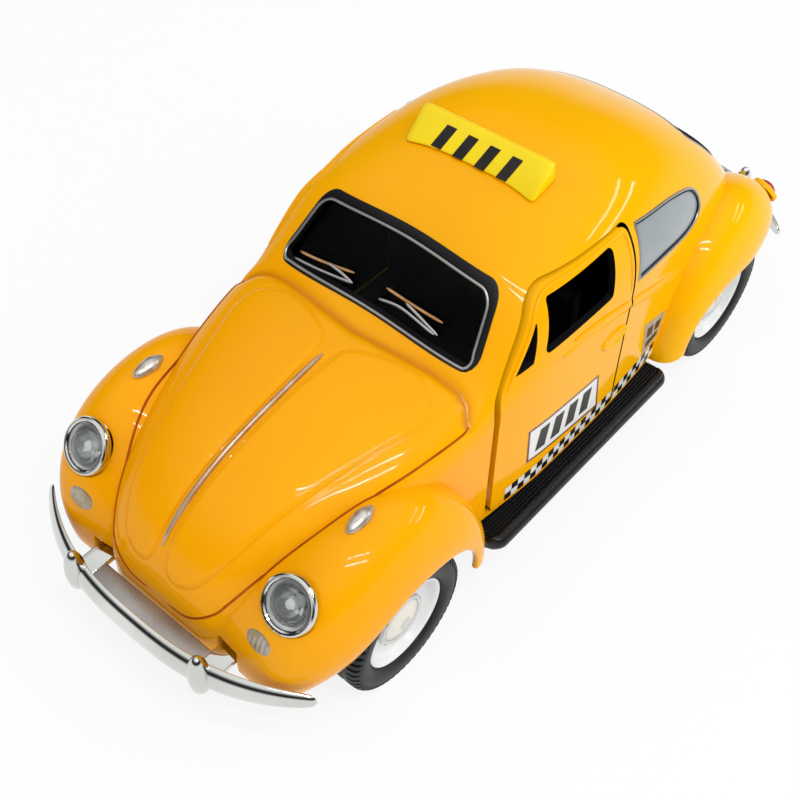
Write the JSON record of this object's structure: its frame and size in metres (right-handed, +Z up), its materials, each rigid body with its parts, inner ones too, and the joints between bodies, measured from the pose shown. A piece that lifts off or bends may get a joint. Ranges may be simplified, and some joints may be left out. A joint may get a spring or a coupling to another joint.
{
  "type": "friction toy car",
  "caption": "Rounded two-door toy saloon with roof sign, swinging doors, running boards and a geared flywheel friction motor on its rear axle.",
  "frame": {"origin": "middle of the overall box at the ground the tyres stand on", "axes": "+Z up, the car faces -Y, its left side is +X"},
  "size_m": [0.0656, 0.169, 0.0656],
  "materials": {
    "yellow_paint": "gloss enamel",
    "black_plastic": "satin",
    "black_rubber": "matt",
    "white_plastic": "gloss",
    "chrome": "bright plate",
    "steel": "drawn",
    "zinc": "as cast",
    "clear_plastic": "clear",
    "red_plastic": "translucent",
    "sign_plastic": "translucent",
    "white_nylon": "moulded"
  },
  "bodies": {
    "car_body": {"body_shell": "yellow_paint", "hinge_pin_left": "steel", "hinge_pin_right": "steel", "window_glazing": "clear_plastic", "interior_tub": "black_plastic", "steering_wheel": "black_plastic", "roof_sign": "sign_plastic", "front_bumper": "chrome", "rear_bumper": "chrome", "headlight_bezel_left": "chrome", "headlight_bezel_right": "chrome", "headlight_lens_left": "clear_plastic", "headlight_lens_right": "clear_plastic", "tail_lamp_left": "red_plastic", "tail_lamp_right": "red_plastic", "chassis_base": "black_plastic", "motor_frame": "zinc", "base_screw_front": "steel", "base_screw_rear": "steel"},
    "left_door": {"door_left": "yellow_paint"},
    "right_door": {"door_right": "yellow_paint"},
    "front_wheels": {"front_axle": "steel", "tyre_front_left": "black_rubber", "tyre_front_right": "black_rubber", "rim_front_left": "white_plastic", "rim_front_right": "white_plastic", "hubcap_front_left": "chrome", "hubcap_front_right": "chrome"},
    "rear_wheels": {"rear_axle": "steel", "tyre_rear_left": "black_rubber", "tyre_rear_right": "black_rubber", "rim_rear_left": "white_plastic", "rim_rear_right": "white_plastic", "hubcap_rear_left": "chrome", "hubcap_rear_right": "chrome", "axle_gear": "white_nylon"},
    "step_up": {"step_up_gear": "white_nylon", "step_up_shaft": "steel"},
    "flywheel_set": {"flywheel": "zinc", "flywheel_pinion": "steel", "flywheel_shaft": "steel"}
  },
  "joints": [
    {"name": "left_door_swing", "type": "hinge", "parent": "car_body", "child": "left_door", "pos_m": [0.02519, -0.0243, 0.0134], "axis": [0, 0, -1], "range_deg": [0, 60]},
    {"name": "right_door_swing", "type": "hinge", "parent": "car_body", "child": "right_door", "pos_m": [-0.02519, -0.0243, 0.0134], "axis": [0, 0, 1], "range_deg": [0, 60]},
    {"name": "front_wheels_spin", "type": "hinge", "parent": "car_body", "child": "front_wheels", "pos_m": [0, -0.052, 0.01325], "axis": [1, 0, 0], "continuous": true},
    {"name": "rear_wheels_spin", "type": "hinge", "parent": "car_body", "child": "rear_wheels", "pos_m": [0, 0.048, 0.01325], "axis": [1, 0, 0], "continuous": true},
    {"name": "step_up_spin", "type": "hinge", "parent": "car_body", "child": "step_up", "pos_m": [0, 0.03991, 0.01572], "axis": [1, 0, 0], "continuous": true},
    {"name": "flywheel_spin", "type": "hinge", "parent": "car_body", "child": "flywheel_set", "pos_m": [0, 0.03196, 0.01862], "axis": [1, 0, 0], "continuous": true}
  ],
  "couplings": [
    {"joint": "step_up_spin", "follows": "rear_wheels_spin", "ratio": -2.5},
    {"joint": "flywheel_spin", "follows": "rear_wheels_spin", "ratio": 6.25}
  ]
}
